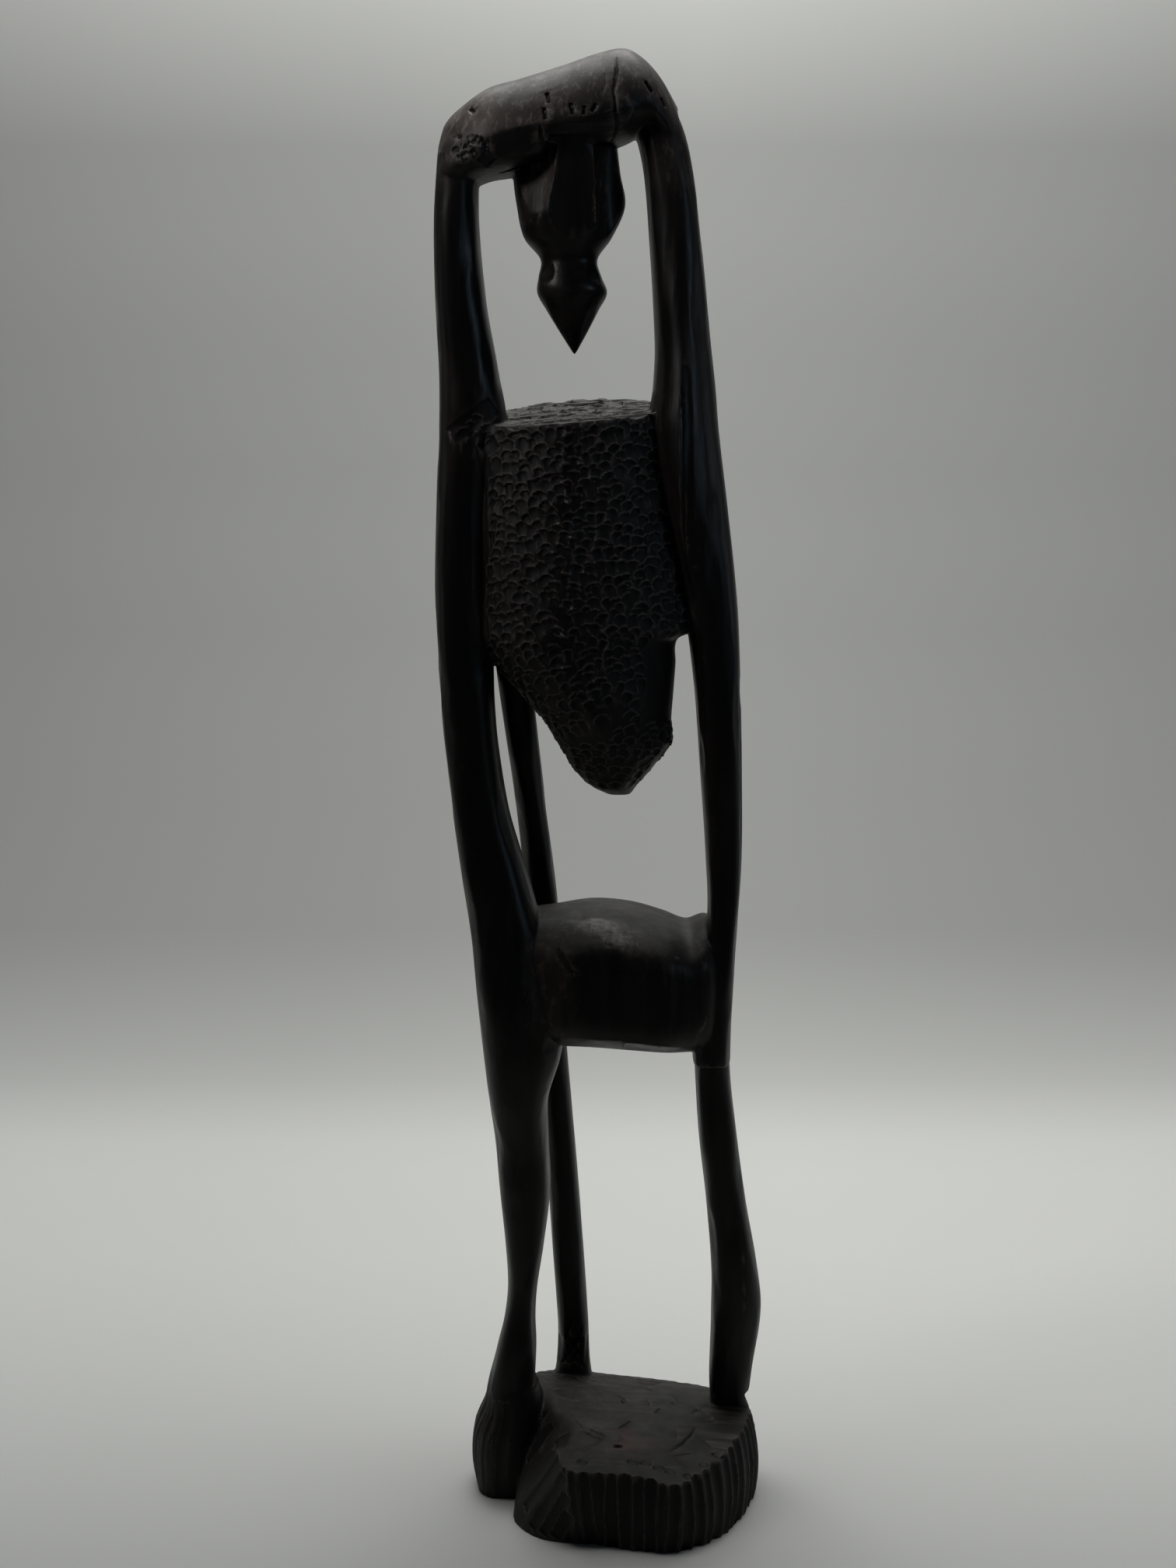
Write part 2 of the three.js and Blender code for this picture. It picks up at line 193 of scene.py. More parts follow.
LEFT_POST = [
    (24, -49.5, -29, 3, 13, 2.9), (38, -47.4, -29.7, 3, 13, 2.9), (54, -43.6, -29.1, 2, 11.5, 3.2),
    (66, -40.8, -29.4, 2, 10, 3.1), (78, -39.5, -28.6, 2, 10, 3.1), (93, -40.1, -26.3, 1, 12, 3.1),
    (116, -42.2, -23.7, 0, 14, 3.2), (134, -43.6, -24.3, -1, 15, 3.2),
    (152, -45.7, -24.2, -4.5, 17.5, 3.3), (172, -47.8, -19, -6, 20, 3.5),
    (192, -49.8, -21.5, -6.5, 20.5, 3.5), (212, -51.7, -26, -5, 18.5, 3.5),
    (235, -55.4, -32.4, -2, 17, 3.3), (257, -58.4, -38.7, 0, 17, 3.3), (290, -61.8, -43, 1, 17.5, 3.3),
    (335, -64, -43.6, 2, 18.5, 3.1), (370, -63, -43, 2, 19, 3.1), (392, -62, -38.6, 2, 19, 3.2),
    (410, -61.9, -41.2, 2, 18, 3.1), (435, -63, -45.4, 1, 17, 2.9), (462, -63.2, -47.8, 1, 17, 2.9),
    (484, -61.8, -47.5, 1, 16, 2.9),
]
RIGHT_ARM = [
    (166, 27.8, 41, -11, 11, 3.3, 0, 0), (183, 27.5, 41.4, -11, 12, 3.3, 0, 0),
    (217, 32.7, 43.3, -9, 12.5, 3.3, 0, 0), (240, 32.2, 44.8, -6, 13, 3.2, 0, 0),
    (270, 30.1, 44.7, -5, 14, 3.1, 0, 0), (300, 27.8, 44, -4, 15, 3.2, 0, 0),
    (330, 23.8, 42.7, -3, 17.5, 2.8, 1, -0.8), (362, 16.7, 39.2, -2, 18.5, 3, 4, -0.5),
    (390, 11.2, 35.8, -1, 18.5, 3, 5, -0.1), (405, 12.8, 34.6, 0, 18.5, 2.8, 4, -0.1),
    (420, 13.4, 32.9, 0, 18, 2.6, 2, -0.1), (457, 11.3, 29.1, 1, 17.5, 3, 0, 0),
    (480, 9.2, 26, 1, 17, 3, 0, 0), (495, 5.5, 22, 1, 16, 3, 0, 0), (504, 2, 16, 1, 13, 2.8, 0, 0),
]
RIGHT_LEG = [
    (20, 38, 50.2, 13, 10, 3.4), (30, 36.2, 50.6, 13, 10, 3.4), (42, 35.8, 51.8, 13, 10.5, 3.3),
    (66, 36.4, 54.8, 12, 11.5, 3.2), (84, 36, 52.9, 11, 11.5, 3.2), (108, 34, 48.6, 10, 11, 3.2),
    (132, 31.2, 45.2, 9, 11, 3.2), (156, 29.6, 42.4, 8, 11, 3.2), (188, 28, 41, 5, 11, 3.2),
]
BACK_STRUT = [
    (20, -24, -7.4, 40, 10, 3), (34, -22, -9.2, 40, 8.5, 2.9), (50, -21.7, -9.8, 40, 8, 2.8),
    (93, -24.5, -12.6, 38.5, 8, 2.8), (130, -26.5, -15.5, 37, 8.5, 2.8),
    (158, -28, -17.8, 35.5, 9, 2.8), (215, -32.9, -21.2, 32.5, 9, 2.8),
    (250, -36.2, -25.2, 28.5, 9, 2.8), (297, -42.4, -30, 21, 8.5, 2.8), (325, -45.5, -32, 16, 8, 2.8),
]
members += [shell(upright(rows)) for rows in (LEFT_POST, RIGHT_ARM, RIGHT_LEG, BACK_STRUT)]


# Pelvis block
# A thick slab left between the posts, with a domed top that was waxed; the bright patch on it is a painted
# highlight, laid on with the wood's colour further down.

PELVIS = [
    (-46, 175, 211, -3, 14, 3), (-38, 172, 217, -1, 21.5, 3.6), (-30, 171, 219.1, 1, 25, 3.8),
    (-22, 171.8, 219.6, 2.5, 30, 4), (-8, 171.9, 220.6, 5, 36, 4.4), (6, 170.9, 219.4, 5, 36.5, 4.4),
    (18, 170.1, 216.3, 4, 35, 4.4), (26, 169.7, 214, 3, 31, 4), (33, 169.5, 217, 0, 25, 3.4),
    (39, 172, 213, -4, 14, 2.6),
]
PELVIS_CROWN = 5
members.append(shell(lying(PELVIS, PELVIS_CROWN)))


# Torso slab
# The body of the figure, between the posts: a keeled front, a sloping top and a blunt tip below, all
# over chips from a small gouge.

TORSO = [
    (261, -3, 5.5, 4, 5, 2.2, 0, 0), (264, -9, 7.6, 4, 10, 2.2, 0, 0),
    (270, -15, 12.8, 4, 15, 2.3, 1, 0), (280, -21, 20.3, 3, 20, 2.5, 2, -0.1),
    (288, -26, 19.9, 3, 23, 2.6, 3, -0.2), (297, -33.4, 20.5, 3, 25, 2.7, 4, -0.2),
    (308, -43, 21.3, 3, 26, 2.8, 4, -0.2), (317, -48, 22, 3, 26.5, 3, 4, -0.2),
    (321, -49.5, 29, 3, 27, 3, 4, -0.2), (340, -49.5, 26.5, 3, 27, 3, 4, -0.15),
    (360, -49.5, 22.5, 3, 27, 3, 4, -0.1), (395.6, -49, 17.5, 3, 26, 3, 4, 0),
]
TORSO_TOP_SLOPE_BACK = 0.115
TORSO_TOP_SLOPE_RIGHT = 0.08
TORSO_TOP_CROWN = 2.5
TORSO_SLOPE_STARTS = 300


def torso_tilt(x, y, place):
    """How far the torso's surface is lifted at a height: nothing low down, and towards the top a slope
    up to the back and to the right, with a crown over the back half."""
    section = sections(TORSO, place.ravel()).reshape(place.shape + (8,))
    middle = (section[..., 1] + section[..., 2]) / 2
    across = (x - middle) / (section[..., 2] - middle)
    behind = np.maximum(0, y / section[..., 4])
    slope = np.maximum(0, (place - TORSO_SLOPE_STARTS) / (TORSO[-1][0] - TORSO_SLOPE_STARTS))
    rise = y * TORSO_TOP_SLOPE_BACK + (x - middle) * TORSO_TOP_SLOPE_RIGHT
    return slope * (rise + TORSO_TOP_CROWN * behind * (1 - across**2))


def torso():
    """Upright rings that tilt more and more towards the top, and rings shrinking over the top."""
    side = upright(TORSO)
    centre = side[-1].mean(0)
    top = [((side[-1] - centre) * shrink + centre)[None] for shrink in np.linspace(0.95, 0.05, 19)]
    rings = np.concatenate([side] + top)
    rings[..., 2] += torso_tilt(rings[..., 0], rings[..., 1], rings[..., 2])
    return rings


members.append(shell(torso()))


# Lintel and pendant
# The top of the log, cut to a slanting bar between the posts, with a faceted bulb hanging from it.

LINTEL = [
    (-61.6, 476, 487, 1, 9, 2.2), (-59.5, 471, 494, 1, 14, 2.3), (-54, 471.5, 499.8, 1, 18, 2.4),
    (-44, 475.5, 506.4, 0, 20.5, 2.4), (-34, 477.2, 509.2, 0, 22, 2.4), (-18, 481.5, 514, 0, 23, 2.4),
    (-6, 484.8, 518, 0, 23, 2.4), (3, 488, 519.4, 0, 22, 2.4), (10, 491, 515.4, 0, 20, 2.3),
    (16, 488, 508.5, 0, 17, 2.3), (21, 482, 500, 0, 13, 2.2),
]
PENDANT = [
    (416.5, -14.9, -14.3, 0, 0.4, 2), (425, -20.3, -9.6, 0, 6, 2.3), (432, -24.6, -6, 0, 10, 2.4),
    (437.5, -27.6, -3.2, 0, 13, 2.4), (443, -27.1, -5.2, 0, 12, 2.4), (449, -26.4, -6.6, 0, 10.5, 2.4),
    (456, -32, -1.8, 0, 15, 2.3), (467, -34.6, 3, 0, 18.5, 2.1), (478, -35.8, 1.3, 0, 19, 2.1),
    (494, -35, -0.6, 0, 18, 2.2),
]
LINTEL_LEAN = 5
members += [shell(lying(LINTEL, lean=LINTEL_LEAN)), shell(upright(PENDANT))]


# The log
# The whole figure is one log of blackwood, so the members' shells are melted into one skin, and the
# skin's corners are put in order of height, so that a cut finds the few it can reach.

VOXEL = 0.5
corners, faces = [], []
for shell_corners, shell_faces in members:
    before = sum(map(len, corners))
    faces += [[corner + before for corner in face] for face in shell_faces]
    corners.append(shell_corners)
blank = bpy.data.meshes.new("log")
blank.from_pydata((np.concatenate(corners) * MM).tolist(), [], faces)
log = bpy.data.objects.new("log", blank)
bpy.context.scene.collection.objects.link(log)
melt = log.modifiers.new("melt", "REMESH")
melt.mode = "VOXEL"
melt.voxel_size = VOXEL * MM
rub = log.modifiers.new("rub", "SMOOTH")
rub.factor = 0.5
rub.iterations = 4
skin = bpy.data.meshes.new_from_object(log.evaluated_get(bpy.context.evaluated_depsgraph_get()))
bpy.data.objects.remove(log)


def read(items, name, width):
    """One property of all of a mesh's items as an array."""
    values = np.empty(len(items) * width, np.float32)
    items.foreach_get(name, values)
    return values.reshape(-1, width)


order = np.argsort(read(skin.vertices, "co", 3)[:, 2])
wood = read(skin.vertices, "co", 3)[order].astype(float) / MM
facing = read(skin.vertex_normals, "vector", 3)[order].astype(float)
level = wood[:, 2].copy()
hand = np.random.default_rng(11)
EDGE_ON = 0.15
LIP_PLACE = 0.6
LIP_SPREAD = 0.45


def gouge(start, end, out, width, depths, sweep=2, bow=0.0, swell=0.0, follow=False, reach=5.0, wall=2.5,
          slack=0.0, taken=None, lip=0.0):
    """One pass of a gouge. Its bottom runs from start to end, below that line by the depths spread
    evenly along it, and rises to nothing at the sides by across over half the width to the power of
    the sweep. Past both ends and some slack it leaves the wood up a steep wall, and the far end is
    bowed by the bow times across squared, where a lip may be torn up. A swell bends the line outwards.
    Wood above the bottom goes, except where the skin is turned away from the cut or out of its reach.
    A following pass is measured from the skin instead of from the line, and takes no more than the
    earlier passes noted in taken have left of it."""
    start, end, out = (np.asarray(spot, float) for spot in (start, end, out))
    length = np.linalg.norm(end - start)
    along = (end - start) / length
    out = out - along * (out @ along)
    out = out / np.linalg.norm(out)
    side = np.cross(out, along)
    margin = width / 2 + slack + 2
    low, high = np.searchsorted(level, [min(start[2], end[2]) - margin, max(start[2], end[2]) + margin])
    offset = wood[low:high] - start
    across, ahead = offset @ side, offset @ along
    near = (np.abs(across) < width / 2 + 0.4) & (ahead > -1 - slack) & (ahead < length + 1 + slack)
    near = np.flatnonzero(near)
    across, ahead, lift = across[near], ahead[near], offset[near] @ out
    part = ahead / length
    bottom = max(depths) * np.abs(2 * across / width) ** sweep
    bottom -= np.interp(part, np.linspace(0, 1, len(depths)), depths)
    past_end = np.maximum(0, ahead - length - slack + bow * across**2)
    bottom += wall * (past_end + np.maximum(0, -ahead - slack))
    bottom += swell * 4 * part * (1 - part)
    shaved = np.maximum(0, -bottom if follow else lift - bottom)
    missed = (np.abs(lift) > reach) | (facing[low:high][near] @ out < EDGE_ON)
    shaved[missed] = 0
    near += low
    if taken is not None:
        shaved = np.maximum(0, shaved - taken[near])
        taken[near] += shaved
    behind_wall = (ahead - length + bow * across**2 - LIP_PLACE) / LIP_SPREAD
    torn = lip * np.exp(-(behind_wall**2)) * (shaved == 0)
    torn[missed | (np.abs(across) > width / 2)] = 0
    wood[near] += (torn - shaved)[:, None] * out


def patch(spot, reach=2.2):
    """Mean place and facing of the skin within reach of a spot, or nothing where it is too far away."""
    low, high = np.searchsorted(level, [spot[2] - reach, spot[2] + reach])
    close = np.flatnonzero(((wood[low:high] - spot) ** 2).sum(1) < reach**2) + low
    if len(close) < 5:
        return None
    normal = facing[close].mean(0)
    return wood[close].mean(0), normal / np.linalg.norm(normal)


def seen(x, y=None, z=None, floor=0, ceiling=600):
    """The skin's place and facing at x and z as met from the front, or at x and y as met from above
    between a floor and a ceiling."""
    low, high = (z - 1.5, z + 1.5) if y is None else (floor, ceiling)
    low, high = np.searchsorted(level, [low, high])
    other = 2 if y is None else 1
    close = np.abs(wood[low:high, 0] - x) + np.abs(wood[low:high, other] - (z if y is None else y)) < 1.6
    close = np.flatnonzero(close) + low
    if not len(close):
        return None
    key = -wood[close, 1] if y is None else wood[close, 2]
    return patch(wood[close[np.argmax(key)]])


def front_cut(start, end, width, depths, **more):
    """A cut between two places given as x and z on the front."""
    first, second = seen(start[0], z=start[1]), seen(end[0], z=end[1])
    if first is not None and second is not None:
        gouge(first[0], second[0], first[1] + second[1], width, depths, **more)


def trail(points, width, depth, top=False, floor=20, ceiling=45, **more):
    """Following cuts through points given as x and z on the front, or as x and y on a top."""
    follow([seen(a, y=b, floor=floor, ceiling=ceiling) if top else seen(a, z=b) for a, b in points],
           width, depth, **more)


def follow(found, width, depth, **more):
    """Following cuts through places on the skin, fading out at both ends."""
    taken = np.zeros(len(wood))
    found = [place for place in found if place is not None]
    fade = [0.3] + [1] * (len(found) - 2) + [0.3] if len(found) > 2 else [0.8, 0.8]
    for number, (first, second) in enumerate(zip(found, found[1:])):
        depths = [depth * fade[number], depth * (fade[number] + fade[number + 1]) / 2,
                  depth * fade[number + 1]]
        gouge(first[0], second[0], first[1] + second[1], width, depths, follow=True, taken=taken, **more)


def facet(rows, angle, low, high, width, depths):
    """A flat cut up a member at an angle round it, from one height to another."""
    corner = [np.array([*section_corners(sections(rows, np.array([z]))[0], turned), z])
              for z, turned in ((low, angle), (high, angle), (low, angle + 0.1), (high, angle + 0.1))]
    out = np.cross(corner[2] + corner[3] - corner[0] - corner[1], corner[1] - corner[0])
    gouge(corner[0], corner[1], out, width, depths, sweep=3.5, reach=4)


# Cuts on the torso
# Front, back and sides are covered with chips from a small gouge, pushed upwards and stopped, so that
# every chip is deepest under an arc. A strip along the front's left edge and the bevel on the lower
# right were left plain, and the sloping top has wider strokes that run mostly from side to side.

CHIP_WIDTH = 4.4
CHIP_PITCH = 3.0


def chip(spot, out, along, width=CHIP_WIDTH, length=5.0, depth=0.95, sweep=3.5):
    """A gouge pushed into the wood and stopped: the cut starts at nothing and ends under an arc."""
    turn = hand.normal(0, 0.24)
    along = along * math.cos(turn) + np.cross(out, along) * math.sin(turn)
    width, depth = width * hand.uniform(0.75, 1.35), depth * hand.uniform(0.5, 1.2)
    length = length * hand.uniform(0.85, 1.15)
    gouge(spot - along * length / 2, spot + along * length / 2, out, width,
          [0, 0.4 * depth, 0.75 * depth, depth], sweep=sweep, bow=hand.uniform(0.08, 0.24), reach=3,
          wall=4, lip=0.22)


round_torso = np.linspace(0, 2 * np.pi, 361)
for row, place in enumerate(np.arange(394, 262, -CHIP_PITCH)):
    rings = []
    for rise in (0, 1.5):
        levels = np.full(361, place + rise)
        x, y = section_corners(sections(TORSO, levels), round_torso)
        rings.append(np.stack([x, y, levels + torso_tilt(x, y, levels)], axis=-1))
    travel = np.concatenate([[0], np.cumsum(np.linalg.norm(np.diff(rings[0], axis=0), axis=1))])
    count = max(4, int(travel[-1] / CHIP_WIDTH))
    for number in range(count):
        stop = (number + 0.5 * (row % 2) + hand.normal(0, 0.2)) / count * travel[-1]
        index = min(359, np.searchsorted(travel, stop % travel[-1]))
        rise = rings[1][index] - rings[0][index]
        spot = rings[0][index] + rise * hand.normal(0, 0.55)
        out = np.cross(rings[0][(index + 2) % 360] - rings[0][index - 2], rise)
        out = out / np.linalg.norm(out)
        bevel = out[0] > 0.5 and 286 < spot[2] < 318
        plain = abs(spot[0] + 2) < 11 and 280 < spot[2] < 300 and out[1] < 0 and hand.random() < 0.6
        strip = spot[0] < -44 and out[1] < -0.3
        if not bevel and not plain and not strip and patch(spot, 1.1) is not None:
            chip(spot, out, rise / np.linalg.norm(rise))

for y in np.arange(-23, 27, 3):
    for x in np.arange(-46, 20, 9.5) + hand.uniform(0, 9):
        found = seen(x, y=y + hand.normal(0, 0.6), floor=386, ceiling=402)
        if found is not None and found[1][2] > 0.8:
            step = np.array([1, hand.normal(0.1, 0.2), 0]) * hand.uniform(3.5, 7)
            gouge(found[0] - step, found[0] + step, found[1], hand.uniform(3, 4.6),
                  [0.2, 0.9, 1.3, 1.2, 0.8], sweep=2, reach=2, wall=2, follow=True, lip=0.1)

for x, z in [(-50.5, 391.5), (-47, 393), (-45, 389.5), (-49, 387.5), (-44.5, 385.5), (-53, 389)]:
    spot, out = seen(x, z=z)
    chip(spot, out, np.cross(out, np.cross(np.array([0, 0, 1.0]), out)), length=5, depth=0.6)
for x, top, foot in [(-46.6, 385, 352), (-45, 381, 331), (-46.3, 348, 318), (-45.4, 328, 306)]:
    trail([(x, top), (x + 0.4, (top + foot) / 2), (x, foot)], 1.8, 0.4)
trail([(22.4, 406), (22.4, 396), (22.3, 380), (22.4, 362), (22.6, 346)], 1.8, 0.5)
trail([(25, 412), (25.1, 396), (25.2, 380), (25.4, 362), (26, 344)], 5, 0.6)


# Cuts on posts, strut and pelvis
# These were pared smooth with a knife in long shallow facets and then rubbed bright.

for rows, number in [(LEFT_POST, 260), (RIGHT_ARM, 200), (RIGHT_LEG, 110), (BACK_STRUT, 110)]:
    for _ in range(number):
        place = hand.uniform(rows[0][0] + 6, rows[-1][0] - 4)
        angle = hand.uniform(0, 2 * np.pi)
        found = patch([*section_corners(sections(rows, np.array([place]))[0], angle), place], 1.4)
        if found is not None:
            slope = sections(rows, np.array([place + 1]))[0] - sections(rows, np.array([place]))[0]
            along = np.array([(slope[1] + slope[2]) / 2, slope[3], 1]) + hand.normal(0, 0.05, 3)
            along *= hand.uniform(6, 18) / np.linalg.norm(along)
            depth = hand.uniform(0.15, 0.4)
            gouge(found[0] - along, found[0] + along, found[1], hand.uniform(5, 9),
                  [0, 0.7 * depth, depth, 0.7 * depth, 0], follow=True, reach=3)

front_cut((-41, 399), (-58, 388.5), 8, [0.4, 0.8, 0.8, 0.4], sweep=5, follow=True)
for x, top, foot in [(-30, 216, 184), (-26.5, 214, 186), (-22.5, 206, 180), (-17.5, 199, 181),
                     (-8, 212, 183), (3, 211, 180), (13, 212, 178), (21, 210, 177)]:
    front_cut((x, top), (x + hand.normal(0, 1), foot), hand.uniform(5, 9), [0, 0.35, 0.45, 0.35, 0],
              follow=True)
for _ in range(24):
    x = hand.uniform(-14, 8)
    front_cut((x, 219 - 0.35 * (x + 13) + hand.normal(0, 2)), (x + 1.5, 217 - 0.35 * (x + 13)), 2.4,
              [0, 0.14, 0.14, 0], follow=True, reach=3)
front_cut((-24, 174), (2, 173.3), 9, [0.3, 0.9, 1, 1], follow=True)
front_cut((2, 173.3), (23, 172.2), 9, [1, 1, 0.8, 0.3], follow=True)
trail([(-20.5, 211.4), (-20, 208), (-19, 205), (-17, 203), (-14.5, 202)], 3, 0.7)


# Cuts on the lintel and the pendant
# The lintel's front is split by a drying crack and nicked, and roughened at its left end. The pendant
# is cut to broad facets on its body and on its lower bulb.

front_cut((5, 508), (9, 487), 12, [0, 0.6, 0.7, 0.6, 0], sweep=4, follow=True)
front_cut((16, 497), (19.5, 467), 6, [0, 0.5, 0.6, 0.5, 0], sweep=4, follow=True)
front_cut((-47, 484), (-25, 486), 9, [0, 0.6, 0.8, 0.8, 0.6], sweep=3, follow=True)
front_cut((-26, 486), (0, 488.5), 9, [0.6, 0.8, 0.8, 0.6, 0], sweep=3, follow=True)
trail([(-0.1, 516), (-0.3, 511), (-1, 504), (-0.2, 500), (-0.8, 494), (-0.7, 485)], 1.7, 0.9)
for points in [[(-23.7, 503.5), (-23.5, 500)], [(-24.7, 498), (-24.2, 494.6)],
               [(-15.9, 499.4), (-16, 495.6)], [(-11.6, 498.4), (-11.9, 494.4)],
               [(-7.2, 499), (-7.4, 496)], [(11, 506), (13, 503)], [(16.3, 501), (17.5, 498.4)],
               [(-50.5, 499), (-48.6, 498)]]:
    trail(points, 1.7, 1.3, reach=3)
trail([(-4.2, 510), (-4.6, 506), (-5.7, 500.5)], 1.3, 0.3)
for _ in range(30):
    x, z = hand.uniform(-57, -45), hand.uniform(480, 489)
    trail([(x, z), (x + hand.normal(1, 0.8), z + hand.normal(0, 0.8))], hand.uniform(1.4, 2.6), 0.5)
trail([(-46, 481), (-42, 478), (-39.5, 474.5)], 6, 0.9)

for angle, low, high, width, depths in [
    (4.05, 464, 485, 24, [0.2, 1.3, 2.4, 3.3, 3.9]), (5.6, 456, 486, 14, [0, 1, 2, 2.7, 3.2]),
    (4.8, 455, 488, 15, [0, 0.5, 0.5, 0.5, 0]), (3.9, 440, 448, 11, [0, 0.7, 0.9, 0.7, 0]),
    (5.5, 439.5, 448, 11, [0, 0.7, 0.9, 0.7, 0]), (3.9, 419, 436, 11, [0, 0.5, 0.5, 0]),
    (5.5, 419, 436, 11, [0, 0.5, 0.5, 0]), (1.6, 453, 485, 16, [0, 0.6, 0.6, 0]),
    (0.8, 453, 485, 12, [0, 0.8, 0.8, 0]), (2.3, 453, 485, 12, [0, 0.8, 0.8, 0]),
]:
    facet(PENDANT, angle, low, high, width, depths)


# Cuts on the base
# Upright gouge flutes go all round its side, broad slanting strokes cross its left front, and the
# top was cleared with a wide flat gouge.

FLUTE_DEPTH = 1.1
plan = closed_curve(BASE_PLAN, 1440)
half_way = (plan[:, :2] + plan[:, 2:]) / 2
travel = np.concatenate([[0], np.cumsum(np.linalg.norm(np.diff(half_way, axis=0), axis=1))])
first = travel[int(np.argmin(np.hypot(half_way[:, 0] + 19.4, half_way[:, 1] + 49)))]
widths = [3.2, 3.6, 4.2, 4.6, 4.4, 5.2, 4, 4.6, 2.9, 5.4, 4.7, 5.4, 4.1, 5.9, 5.4, 5.4, 6.2, 6.4]
widths = np.array(widths + list(hand.uniform(4, 6, 60)))
for middle, width in zip(first + np.cumsum(widths) - widths / 2, widths):
    if middle > first + travel[-1] - 34:
        break
    index = int(np.searchsorted(travel, middle % travel[-1])) % 1440
    tangent = half_way[(index + 6) % 1440] - half_way[index - 6]
    foot = np.array([*plan[index, :2], 0])
    rim = np.array([*plan[index, 2:], base_top(*plan[index, 2:])])
    depth = FLUTE_DEPTH * hand.uniform(0.75, 1.2) * min(1.2, width / 4.6)
    gouge(foot + hand.normal(0, 0.3, 3) * [1, 1, 0], rim, (tangent[1], -tangent[0], 0), width * 1.04,
          [depth * hand.uniform(0.7, 1.2) for _ in range(6)], swell=BASE_BULGE, reach=4, slack=5)
for top, foot in [((-22.5, 28.5), (-33.5, 8)), ((-20.5, 25), (-30.5, 4)), ((-24.5, 31), (-33, 19)),
                  ((-19.5, 18), (-26.5, 3)), ((-19, 11), (-22.5, 3))]:
    front_cut(foot, top, 6.4, [0.8, 1.2, 1.2, 1], sweep=2.5, slack=1.5)
for angle, width in [(2.5, 5), (2.8, 5), (3.1, 5), (3.42, 5), (3.72, 5), (3.98, 5), (4.25, 6), (4.6, 6)]:
    spots = [patch([*section_corners(sections(BASE_LOBE, np.array([z]))[0], angle), z], 1.5)
             for z in (0.8, 8, 16, 24, 31, hand.uniform(36, 39))]
    follow(spots, width, 0.8)
for _ in range(34):
    x, y, turn = hand.uniform(-24, 44), hand.uniform(-44, 34), hand.uniform(0, math.pi)
    step = np.array([math.cos(turn), math.sin(turn)]) * hand.uniform(5, 10)
    first, second = (seen(x + step[0] * way, y=y + step[1] * way, floor=18, ceiling=40)
                     for way in (-1, 1))
    if first is not None and second is not None and min(first[1][2], second[1][2]) > 0.8:
        gouge(first[0], second[0], (0, 0, 1), hand.uniform(6, 11), [0, 0.35, 0.45, 0.5], sweep=3, reach=2,
              follow=True)
for turn in (-2.8, -2.3, -1.9, -1.5, -1.1, -0.6):
    step = np.array([math.cos(turn), math.sin(turn)])
    trail([(-15 + 7 * step[0], 39 + 6 * step[1]), (-15 + 15 * step[0], 39 + 15 * step[1])], 3.6, 0.7,
          top=True)
for foot, top in [((-20, 36), (-11, 50)), ((-11, 37), (-19, 47)), ((-16, 36), (-14, 44)),
                  ((-20, 44), (-17, 52))]:
    trail([foot, ((foot[0] + top[0]) / 2, (foot[1] + top[1]) / 2), top], 2.2, 0.7)
trail([(0.9, -37.4), (0.9, -35.4)], 3.4, 1.2, top=True)
trail([(1, -35), (2.4, -31), (2.6, -27)], 1.8, 0.4, top=True)
trail([(22.5, 13.7), (27, 6.5), (31, 0)], 4, 0.7, top=True)
trail([(29, 5), (33, -2), (36, -8)], 2.4, 0.5, top=True)
trail([(37, 4), (32, -1), (28, -8)], 2.2, 0.5, top=True)
trail([(-17.3, -9.4), (-12, -22), (-6.6, -34.8)], 1.5, 0.35, top=True)
trail([(30.8, -15.9), (28.5, -24), (24.5, -31), (20.7, -35.7)], 1.6, 0.6, top=True)
for x, y in [(6, -45), (10.5, -44.8), (15, -47), (19, -48.5), (25.8, -50), (31, -43), (37, -36),
             (-12, -47)]:
    trail([(x - 1.5, y), (x + 2, y - 1)], 3.2, 0.7, top=True)


# The finished skin
# The cut skin is eased by a hair and thinned where it is flat.

cut_order = np.argsort(order)
skin.vertices.foreach_set("co", (wood[cut_order] * MM).ravel())
skin.update()

carved = bpy.data.objects.new("carved_figure", skin)
bpy.context.scene.collection.objects.link(carved)
TRIANGLES = 196000
settle = carved.modifiers.new("settle", "SMOOTH")
settle.factor = 0.25
settle.iterations = 1
thin = carved.modifiers.new("thin", "DECIMATE")
thin.ratio = min(1, TRIANGLES / (2 * len(skin.polygons)))
final = bpy.data.meshes.new_from_object(carved.evaluated_get(bpy.context.evaluated_depsgraph_get()))
carved.modifiers.clear()
carved.data = final
final.shade_smooth()
final.set_sharp_from_angle(angle=math.radians(38))


# Wear, stain and painted light on the wood
# Kept as values at the corners: how dull the cut surface was left; how pale it is on upward faces, partly
# from wear and partly as painted light from above, with a painted highlight on the pelvis's top and
# painted light on the pelvis's left side and on the pendant's side facets; where a reddish streak crosses
# the base's top; and how far each corner stands out or lies deep, which pales the rims, partly as wear and
# partly as a painted highlight, and darkens the hollows as painted shade.

spots, normals = read(final.vertices, "co", 3) / MM, read(final.vertex_normals, "vector", 3)
ends = np.empty(len(final.edges) * 2, np.int32)
final.edges.foreach_get("vertices", ends)
one, other = ends.reshape(-1, 2).T
reach = spots[other] - spots[one]
span = np.linalg.norm(reach, axis=1)
bend = np.bincount(one, -(reach * normals[one]).sum(1) / span, len(spots))
bend += np.bincount(other, (reach * normals[other]).sum(1) / span, len(spots))
bend /= np.maximum(1, np.bincount(ends, minlength=len(spots)))
x, y, z = spots.T
BASE_LEVEL = 44
LINTEL_LEVEL = 472
